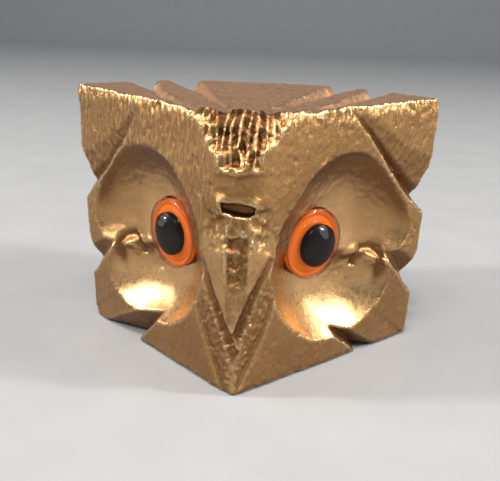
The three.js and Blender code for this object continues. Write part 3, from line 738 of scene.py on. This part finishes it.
# ------------------------------------------------------------------ node helpers
class Nodes:
    def __init__(self, name):
        self.mat = bpy.data.materials.new(name)
        self.mat.use_nodes = True
        self.tree = self.mat.node_tree
        self.tree.nodes.clear()
        self.out = self.add("ShaderNodeOutputMaterial")
        self.bsdf = self.add("ShaderNodeBsdfPrincipled")
        self.link(self.bsdf, "BSDF", self.out, "Surface")

    def add(self, kind, **props):
        node = self.tree.nodes.new(kind)
        for key, value in props.items():
            setattr(node, key, value)
        return node

    def link(self, a, out, b, into):
        self.tree.links.new(a.outputs[out], b.inputs[into])

    def set(self, node, **values):
        for key, value in values.items():
            node.inputs[key.replace("_", " ")].default_value = value
        return node

    def coords(self, scale=(1, 1, 1)):
        tex = self.add("ShaderNodeTexCoord")
        mapping = self.add("ShaderNodeMapping")
        mapping.inputs["Scale"].default_value = scale
        self.link(tex, "Object", mapping, "Vector")
        return mapping

    def noise(self, coords, scale, detail=4.0, rough=0.55):
        node = self.add("ShaderNodeTexNoise")
        node.inputs["Scale"].default_value = scale
        node.inputs["Detail"].default_value = detail
        node.inputs["Roughness"].default_value = rough
        self.link(coords, "Vector", node, "Vector")
        return node

    def attribute(self, name):
        return self.add("ShaderNodeAttribute", attribute_name=name)

    def range(self, source, out, a, b, c, d, clamp=True):
        node = self.add("ShaderNodeMapRange")
        node.clamp = clamp
        for key, value in (("From Min", a), ("From Max", b), ("To Min", c), ("To Max", d)):
            node.inputs[key].default_value = value
        self.link(source, out, node, "Value")
        return node

    def math(self, op, a, b=None, clamp=False):
        node = self.add("ShaderNodeMath", operation=op, use_clamp=clamp)
        for slot, value in enumerate((a, b)):
            if value is None:
                continue
            if isinstance(value, (int, float)):
                node.inputs[slot].default_value = value
            else:
                self.tree.links.new(value[0].outputs[value[1]], node.inputs[slot])
        return node

    def mix(self, factor, a, b, blend="MIX"):
        node = self.add("ShaderNodeMix", data_type="RGBA", blend_type=blend)
        inputs = {s.identifier: s for s in node.inputs}
        for key, value in (("Factor_Float", factor), ("A_Color", a), ("B_Color", b)):
            if isinstance(value, (int, float)):
                inputs[key].default_value = value
            elif isinstance(value[0], (int, float)):
                inputs[key].default_value = (*value[:3], 1)
            else:
                self.tree.links.new(value[0].outputs[value[1]], inputs[key])
        return node

    def mixed(self, node):
        return (node, [i for i, s in enumerate(node.outputs) if s.identifier == "Result_Color"][0])

    def bump(self, height, strength, distance, under=None):
        node = self.add("ShaderNodeBump")
        node.inputs["Strength"].default_value = strength
        node.inputs["Distance"].default_value = distance
        self.tree.links.new(height[0].outputs[height[1]], node.inputs["Height"])
        if under is not None:
            self.link(under, "Normal", node, "Normal")
        return node


# ------------------------------------------------------------------ gilt metal
def gilt():
    n = Nodes("gilt_metal_carved")
    at = n.coords((1, 1, 1))
    broad = n.noise(at, 90, 5)
    fine = n.noise(at, 900, 4, 0.65)
    speck = n.noise(at, 2600, 3, 0.7)
    bowl, crown, proud, under = (n.attribute(k) for k in ("bowl", "crown", "proud", "under"))
    gold = n.mix((n.range(broad, "Fac", 0.35, 0.65, 0, 1), 0), (0.340, 0.184, 0.067), (0.430, 0.238, 0.094))
    # Painted shade: darker and redder in the hollows, under the overhangs and on downward faces. Paler on the high
    # spots that handling has polished, with a painted highlight where they face up.
    hollow = n.range(proud, "Fac", -0.7, 0.05, 1, 0)
    hollow_shaded = n.mix((n.math("MULTIPLY", (hollow, 0), 0.75), 0), n.mixed(gold), (0.30, 0.125, 0.040))
    shade = n.mix((n.math("MULTIPLY", (under, "Fac"), 0.85), 0), n.mixed(hollow_shaded), (0.19, 0.085, 0.032))
    # Painted shade, deepened further to near black where the shade mask is full.
    shade = n.mix((n.range(under, "Fac", 0.95, 1.5, 0, 0.8), 0), n.mixed(shade), (0.055, 0.023, 0.009))
    # Rubbed high spots painted pale and held back on downward faces: real wear plus a painted highlight on the
    # upward-facing edges.
    rubbed_edge_light = n.range(proud, "Fac", 0.10, 0.9, 0, 0.62)
    kept = n.math("SUBTRACT", 1.0, (n.math("MULTIPLY", (under, "Fac"), 0.78), 0))
    rubbed_and_lit = n.math("MULTIPLY", (rubbed_edge_light, 0), (kept, 0))
    bright = n.mix((rubbed_and_lit, 0), n.mixed(shade), (0.97, 0.72, 0.40))
    clean = n.math("SUBTRACT", (n.math("MULTIPLY", (bowl, "Fac"), 0.50), 0), (n.math("MULTIPLY", (under, "Fac"), 0.50), 0), True)
    polished = n.mix((clean, 0), n.mixed(bright), (0.84, 0.52, 0.24))
    polished = n.mix((n.math("MULTIPLY", (crown, "Fac"), 0.52), 0), n.mixed(polished), (0.94, 0.57, 0.37))
    stain = n.mix((n.range(fine, "Fac", 0.60, 0.78, 0, 0.55), 0), n.mixed(polished), (0.30, 0.15, 0.06))
    # Painted glints: pale specks mixed into the gilt colour.
    glint_specks = n.mix((n.range(speck, "Fac", 0.63, 0.73, 0, 0.65), 0), n.mixed(stain), (1.0, 0.80, 0.50))
    n.tree.links.new(glint_specks.outputs[n.mixed(glint_specks)[1]], n.bsdf.inputs["Base Color"])
    n.set(n.bsdf, Metallic=1.0)
    base = n.range(fine, "Fac", 0.3, 0.7, 0.25, 0.40)
    less = n.math("MULTIPLY", (bowl, "Fac"), 0.05)
    rough = n.math("SUBTRACT", (base, 0), (less, 0))
    more = n.math("MULTIPLY", (crown, "Fac"), 0.10)
    rough = n.math("ADD", (rough, 0), (more, 0))
    dull = n.math("MULTIPLY", (under, "Fac"), 0.10)
    rough = n.math("ADD", (rough, 0), (dull, 0))
    shine = n.math("MULTIPLY", (rubbed_and_lit, 0), 0.16)
    rough = n.math("SUBTRACT", (rough, 0), (shine, 0), True)
    n.link(rough, 0, n.bsdf, "Roughness")
    # The bowls are smoother than the chiselled flats.
    calm = n.math("SUBTRACT", 1.0, (n.math("MULTIPLY", (bowl, "Fac"), 0.6), 0))
    height = n.math("MULTIPLY", (fine, "Fac"), (calm, 0))
    grit = n.math("MULTIPLY", (speck, "Fac"), (calm, 0))
    relief = n.bump((height, 0), 0.65, 0.00020)
    relief = n.bump((grit, 0), 0.75, 0.00012, relief)
    n.link(relief, "Normal", n.bsdf, "Normal")
    return n.mat


casting.data.materials.clear()
casting.data.materials.append(gilt())


# ------------------------------------------------------------------ eyes
def lathe(name, profile, matrix, n=96):
    """A closed turned piece; the profile starts and ends on the axis."""
    verts, faces, rings = [], [], []
    for r, z in profile:
        if r < 1e-9:
            rings.append([len(verts)])
            verts.append((0, 0, z))
        else:
            rings.append(list(range(len(verts), len(verts) + n)))
            verts += [(r * math.cos(2 * math.pi * i / n), r * math.sin(2 * math.pi * i / n), z) for i in range(n)]
    for a, b in zip(rings[:-1], rings[1:]):
        for i in range(n):
            j = (i + 1) % n
            if len(a) == 1 and len(b) > 1:
                faces.append((a[0], b[j], b[i]))
            elif len(b) == 1 and len(a) > 1:
                faces.append((a[i], a[j], b[0]))
            elif len(a) > 1:
                faces.append((a[i], a[j], b[j], b[i]))
    obj = new_object(name, [tuple(matrix @ Vector(v)) for v in verts], faces)
    bm = bmesh.new()
    bm.from_mesh(obj.data)
    bmesh.ops.recalc_face_normals(bm, faces=bm.faces)
    bm.to_mesh(obj.data)
    bm.free()
    return obj


def arc(cx, cz, r, a0, a1, steps):
    return [(cx + r * math.cos(math.radians(a0 + (a1 - a0) * i / steps)), cz + r * math.sin(math.radians(a0 + (a1 - a0) * i / steps))) for i in range(steps + 1)]


EYE_R, DOME_R, FLANGE_TOP, DOME_TOP = 6.8, 5.6, 2.9, 6.0


def lens_profile():
    rise = DOME_TOP - FLANGE_TOP + 0.12
    sphere = (DOME_R**2 + rise**2) / (2 * rise)
    dome = []
    for i in range(1, 33):
        r = DOME_R * (1 - i / 32)
        dome.append((r, FLANGE_TOP - 0.12 + math.sqrt(sphere**2 - r * r) - (sphere - rise)))
    inner = []
    for i in range(13):
        r = 4.15 * i / 12
        inner.append((r, 4.34 - 0.7 * (r / 4.15) ** 2.4))
    # Underside over the pupil, out over the iris, up round the rim, the crease, then the dome.
    return (
        inner
        + [(4.18, 3.3), (4.2, 2.45), (5.4, 2.42), (6.45, 2.30)]
        + arc(6.55, 2.55, 0.25, -90, 0, 5)
        + arc(6.3, 2.5, 0.5, 0, 100, 10)
        + [(6.0, 2.93), (5.75, 2.88), (DOME_R, FLANGE_TOP - 0.12)]
        + dome
    )


def local_radius(n, c):
    """Distance from an eye's axis, in mm, from object coordinates."""
    inverse = eye_matrix(c).inverted()
    tex = n.add("ShaderNodeTexCoord")
    rows = []
    for row in (0, 1):
        dot = n.add("ShaderNodeVectorMath", operation="DOT_PRODUCT")
        n.link(tex, "Object", dot, 0)
        dot.inputs[1].default_value = tuple(inverse[row][:3])
        rows.append(n.math("ADD", (dot, "Value"), float(inverse[row][3])))
    x2 = n.math("MULTIPLY", (rows[0], 0), (rows[0], 0))
    y2 = n.math("MULTIPLY", (rows[1], 0), (rows[1], 0))
    r = n.math("SQRT", (n.math("ADD", (x2, 0), (y2, 0)), 0))
    angle = n.math("ARCTAN2", (rows[1], 0), (rows[0], 0))
    return r, angle, rows


def glass(c, name):
    n = Nodes(name)
    at = n.coords()
    seed = n.noise(at, 700, 2)
    n.set(n.bsdf, Metallic=0.0, IOR=1.5, Alpha=0.15)
    n.bsdf.inputs["Specular IOR Level"].default_value = 1.0
    tint = n.mix((n.range(seed, "Fac", 0.4, 0.6, 0, 1), 0), (0.012, 0.004, 0.002), (0.02, 0.006, 0.003))
    # The paint behind shows up in the rounded rim of the flange.
    r, _angle, _rows = local_radius(n, c)
    rim = n.range(r, 0, 6.42, 6.62, 0, 1)
    tint = n.mix((rim, 0), n.mixed(tint), (0.36, 0.045, 0.004))
    n.tree.links.new(tint.outputs[n.mixed(tint)[1]], n.bsdf.inputs["Base Color"])
    n.link(n.range(r, 0, 6.42, 6.62, 0.15, 0.6), 0, n.bsdf, "Alpha")
    n.link(n.range(seed, "Fac", 0.3, 0.7, 0.02, 0.05), 0, n.bsdf, "Roughness")
    return n.mat


def iris(c, name):
    n = Nodes(name)
    r, angle, rows = local_radius(n, c)
    vec = n.add("ShaderNodeCombineXYZ")
    n.tree.links.new(n.math("MULTIPLY", (angle, 0), 7.0).outputs[0], vec.inputs["X"])
    n.tree.links.new(n.math("MULTIPLY", (r, 0), 0.7).outputs[0], vec.inputs["Y"])
    rays = n.add("ShaderNodeTexNoise")
    rays.inputs["Scale"].default_value = 2.2
    rays.inputs["Detail"].default_value = 4
    n.link(vec, 0, rays, "Vector")
    orange = n.mix((n.range(rays, "Fac", 0.3, 0.7, 0, 1), 0), (0.98, 0.155, 0.004), (1.0, 0.24, 0.010))
    ring = n.add("ShaderNodeValToRGB")
    ramp = ring.color_ramp
    ramp.elements[0].position, ramp.elements[0].color = 0.0, (0.42, 0.42, 0.42, 1)
    ramp.elements[1].position, ramp.elements[1].color = 1.0, (0.40, 0.40, 0.40, 1)
    for pos, value in ((0.58, 0.50), (0.66, 0.88), (0.76, 1.0), (0.800, 0.80), (0.818, 0.30), (0.840, 0.80), (0.90, 0.85), (0.95, 0.55)):
        stop = ramp.elements.new(pos)
        stop.color = (value, value, value, 1)
    n.link(n.math("DIVIDE", (r, 0), 6.8), 0, ring, "Fac")
    shade = n.mix(1.0, n.mixed(orange), (ring, "Color"), "MULTIPLY")
    n.tree.links.new(shade.outputs[n.mixed(shade)[1]], n.bsdf.inputs["Base Color"])
    n.link(n.range(rays, "Fac", 0.3, 0.7, 0.40, 0.55), 0, n.bsdf, "Roughness")
    n.bsdf.inputs["Specular IOR Level"].default_value = 0.10
    # Painted glow: the orange iris is given a faint emission of its own.
    n.bsdf.inputs["Emission Color"].default_value = (1.0, 0.17, 0.005, 1)
    n.bsdf.inputs["Emission Strength"].default_value = 0.30
    n.link(n.bump((rays, "Fac"), 0.15, 0.00008), "Normal", n.bsdf, "Normal")
    return n.mat


def enamel(name, low, high, rough=(0.18, 0.3), scale=500):
    n = Nodes(name)
    at = n.coords()
    grain = n.noise(at, scale, 4)
    tone = n.mix((n.range(grain, "Fac", 0.3, 0.7, 0, 1), 0), low, high)
    n.tree.links.new(tone.outputs[n.mixed(tone)[1]], n.bsdf.inputs["Base Color"])
    n.link(n.range(grain, "Fac", 0.3, 0.7, *rough), 0, n.bsdf, "Roughness")
    n.link(n.bump((grain, "Fac"), 0.1, 0.00004), "Normal", n.bsdf, "Normal")
    return n.mat


black_mat = enamel("eye_black_enamel", (0.003, 0.0025, 0.003), (0.007, 0.006, 0.007), (0.03, 0.07))
for node in black_mat.node_tree.nodes:
    if node.type == "BSDF_PRINCIPLED":
        node.inputs["Specular IOR Level"].default_value = 0.03
back_mat = enamel("eye_backing_matt", (0.085, 0.024, 0.010), (0.13, 0.036, 0.015), (0.5, 0.7), 900)

def slide(obj, shift, count=None):
    """Moves the first points of a turned piece sideways, in metres."""
    for v in obj.data.vertices[:count]:
        v.co += shift


for name, c in SIDES.items():
    m = eye_matrix(c)
    # The right pupil was set a little off the middle, away from the beak.
    axis = m.col[2].to_3d().normalized()
    off = Vector((0.43, 0.43, -0.22)) * MM * (c["sign"] > 0)
    off -= axis * off.dot(axis)
    lens = lathe(f"{name}_eye_dome", lens_profile(), m)
    slide(lens, off, 1 + 14 * 96)
    lens.data.materials.append(glass(c, f"{name}_eye_glass_clear"))
    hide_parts(f"{name}_eye_lens")
    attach(lens, "root")
    pupil = lathe(f"{name}_eye_pupil_bead", [(0, 2.3), (4.0, 2.3), (4.08, 2.4), (4.1, 3.25), (4.0, 3.52), (3.7, 3.72), (3.0, 3.98), (2.0, 4.18), (1.0, 4.27), (0, 4.3)], m)
    slide(pupil, off)
    pupil.data.materials.append(black_mat)
    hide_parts(f"{name}_eye_pupil")
    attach(pupil, "root")
    cup = lathe(f"{name}_eye_iris_enamel", [(0, 1.2), (6.3, 1.2), (6.45, 1.3), (6.5, 1.9), (6.45, 2.18), (6.3, 2.26), (5.9, 2.24), (5.6, 2.14), (5.45, 2.12), (5.2, 2.2), (4.6, 2.34), (4.15, 2.42), (3.9, 2.44), (0, 2.25)], m)
    cup.data.materials.append(iris(c, f"{name}_eye_iris_orange"))
    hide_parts(f"{name}_eye_iris")
    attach(cup, "root")
    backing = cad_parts[f"{name}_eye_backing"]
    backing.data.materials.clear()
    backing.data.materials.append(back_mat)

# ------------------------------------------------------------------ base
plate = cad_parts["base_plate"]
plate.data.materials.clear()


def steel():
    n = Nodes("base_plate_steel")
    at = n.coords((1, 26, 1))
    brush = n.noise(at, 260, 5, 0.6)
    tone = n.mix((n.range(brush, "Fac", 0.3, 0.7, 0, 1), 0), (0.40, 0.39, 0.38), (0.58, 0.57, 0.56))
    n.tree.links.new(tone.outputs[n.mixed(tone)[1]], n.bsdf.inputs["Base Color"])
    n.set(n.bsdf, Metallic=1.0)
    n.link(n.range(brush, "Fac", 0.3, 0.7, 0.3, 0.5), 0, n.bsdf, "Roughness")
    n.link(n.bump((brush, "Fac"), 0.2, 0.00005), "Normal", n.bsdf, "Normal")
    return n.mat


plate.data.materials.append(steel())


def felt_piece():
    outline, middle = rounded_diamond(9.2, 36.8, 3.4, 10)
    # A fine sheet of quads inside the outline, with a rolled edge and a napped face.
    lo = np.array([min(p[0] for p in outline), min(p[1] for p in outline)])
    hi = np.array([max(p[0] for p in outline), max(p[1] for p in outline)])
    rings, around = 36, 240
    pts = np.array(outline + outline[:1])
    seg = np.hypot(*(pts[1:] - pts[:-1]).T)
    at = np.concatenate([[0], np.cumsum(seg)])
    t = np.linspace(0, at[-1], around, endpoint=False)
    ring = np.stack([np.interp(t, at, pts[:, 0]), np.interp(t, at, pts[:, 1])], axis=1)
    mid = np.array(middle)
    verts, faces = [], []
    shares = list(np.linspace(0, 1, rings + 1)[1:])

    def layer(z_of, reverse):
        start = len(verts)
        verts.append((mid[0], mid[1], z_of(0.0, mid[0], mid[1])))
        for s in shares:
            for p in ring:
                q = mid + (p - mid) * (s if s < 1 else 0.997)
                verts.append((q[0], q[1], z_of(s, q[0], q[1])))
        for j in range(around):
            k = (j + 1) % around
            f = (start, start + 1 + j, start + 1 + k)
            faces.append(f[::-1] if reverse else f)
            for i in range(rings - 1):
                a, b = start + 1 + i * around, start + 1 + (i + 1) * around
                f = (a + j, b + j, b + k, a + k)
                faces.append(f[::-1] if reverse else f)
        return start + 1 + (rings - 1) * around

    nap = lambda x, y: 0.03 * float(fbm(np.array([x * 1.3]), np.array([y * 1.3]), 77, 3)[0])
    top = layer(lambda s, x, y: 0.58 - (0.10 if s == 1 else 0.0), False)
    under = layer(lambda s, x, y: (0.12 if s == 1 else 0.03 + nap(x, y)), True)
    edge = len(verts)
    for p in ring:
        verts.append((*p, 0.3 + 0.06 * float(vnoise(np.array([p[0] * 2]), np.array([p[1] * 2]), 78)[0])))
    for j in range(around):
        k = (j + 1) % around
        faces.append((top + j, edge + j, edge + k, top + k))
        faces.append((edge + j, under + j, under + k, edge + k))
    obj = new_object("felt_napped", [(x * MM, y * MM, z * MM) for x, y, z in verts], faces)
    bm = bmesh.new()
    bm.from_mesh(obj.data)
    bmesh.ops.recalc_face_normals(bm, faces=bm.faces)
    bm.to_mesh(obj.data)
    bm.free()
    return obj


def felt_mat():
    n = Nodes("felt_green")
    at = n.coords()
    fibre = n.noise(at, 1500, 6, 0.7)
    patch = n.noise(at, 120, 3)
    tone = n.mix((n.range(fibre, "Fac", 0.3, 0.7, 0, 1), 0), (0.018, 0.075, 0.040), (0.055, 0.17, 0.095))
    tone2 = n.mix((n.range(patch, "Fac", 0.35, 0.7, 0, 0.35), 0), n.mixed(tone), (0.03, 0.10, 0.06))
    n.tree.links.new(tone2.outputs[n.mixed(tone2)[1]], n.bsdf.inputs["Base Color"])
    n.bsdf.inputs["Sheen Weight"].default_value = 0.5
    n.bsdf.inputs["Sheen Roughness"].default_value = 0.5
    n.link(n.range(fibre, "Fac", 0.3, 0.7, 0.85, 1.0), 0, n.bsdf, "Roughness")
    n.link(n.bump((fibre, "Fac"), 0.6, 0.0002), "Normal", n.bsdf, "Normal")
    return n.mat


felt = felt_piece()
felt.data.materials.append(felt_mat())
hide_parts("felt_pad")
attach(felt, "root")

# ------------------------------------------------------------------ stage, light, camera
sweep = [(-1.6, 0.0), (0.9, 0.0)] + [(0.9 + 0.5 * math.sin(math.radians(a)), 0.5 - 0.5 * math.cos(math.radians(a))) for a in range(6, 91, 6)] + [(1.4, 2.2)]
floor = new_object(
    "floor",
    [(x, y, z) for y, z in sweep for x in (-2.2, 2.2)],
    [(2 * i, 2 * i + 1, 2 * i + 3, 2 * i + 2) for i in range(len(sweep) - 1)],
)
fm = Nodes("floor_pale")
fn = fm.noise(fm.coords(), 60, 3)
ft = fm.mix((fm.range(fn, "Fac", 0.3, 0.7, 0, 1), 0), (0.275, 0.280, 0.292), (0.295, 0.300, 0.312))
fm.tree.links.new(ft.outputs[fm.mixed(ft)[1]], fm.bsdf.inputs["Base Color"])
fm.bsdf.inputs["Roughness"].default_value = 0.85
floor.data.materials.append(fm.mat)

world = bpy.data.worlds.new("studio")
bpy.context.scene.world = world
world.use_nodes = True
wt = world.node_tree
wt.nodes.clear()
wo = wt.nodes.new("ShaderNodeOutputWorld")
wb = wt.nodes.new("ShaderNodeBackground")
wb.inputs["Color"].default_value = (0.66, 0.70, 0.76, 1)
wb.inputs["Strength"].default_value = 0.46
wt.links.new(wb.outputs[0], wo.inputs[0])


def area(name, where, aim, size, power, colour=(1, 1, 1)):
    data = bpy.data.lights.new(name, "AREA")
    data.shape = "DISK"
    data.size = size
    data.energy = power
    data.color = colour
    obj = bpy.data.objects.new(name, data)
    obj.location = where
    obj.rotation_euler = (Vector(aim) - Vector(where)).to_track_quat("-Z", "Y").to_euler()
    bpy.context.scene.collection.objects.link(obj)
    return obj


area("key", (-0.05, -0.36, 0.78), (0, 0, 0.025), 0.36, 4.6, (1.0, 0.95, 0.86))
area("glint", (0.0, -0.36, 0.78), (0, 0, 0.025), 0.10, 3.4, (1.0, 0.96, 0.90))
area("left_panel", (-0.74, -0.08, 0.37), (0, 0, 0.02), 0.52, 3.1, (1.0, 0.97, 0.92))
area("right_panel", (0.74, -0.04, 0.36), (0, 0, 0.02), 0.54, 3.3, (1.0, 0.97, 0.92))
area("left_spark", (-0.58, -0.11, 0.39), (0, 0, 0.025), 0.085, 3.2, (1.0, 0.97, 0.92))
area("right_spark", (0.60, -0.05, 0.39), (0, 0, 0.025), 0.085, 3.6, (1.0, 0.97, 0.92))

cam_data = bpy.data.cameras.new("camera")
cam = bpy.data.objects.new("camera", cam_data)
bpy.context.scene.collection.objects.link(cam)
cam_data.sensor_width = 36
cam_data.lens = 775.0 / 500.0 * 36
cam_data.clip_start = 0.01
yaw, pitch, roll = math.radians(-4.36), math.radians(17.28), math.radians(1.91)
fwd = Vector((math.sin(yaw) * math.cos(pitch), math.cos(yaw) * math.cos(pitch), -math.sin(pitch)))
right = Vector((math.cos(yaw), -math.sin(yaw), 0))
up = right.cross(fwd)
right, up = math.cos(roll) * right + math.sin(roll) * up, -math.sin(roll) * right + math.cos(roll) * up
cam.matrix_world = Matrix.Translation((0.01162, -0.15473, 0.06721)) @ Matrix((right, up, -fwd)).transposed().to_4x4()
bpy.context.scene.camera = cam
bpy.context.scene.view_settings.view_transform = "Standard"
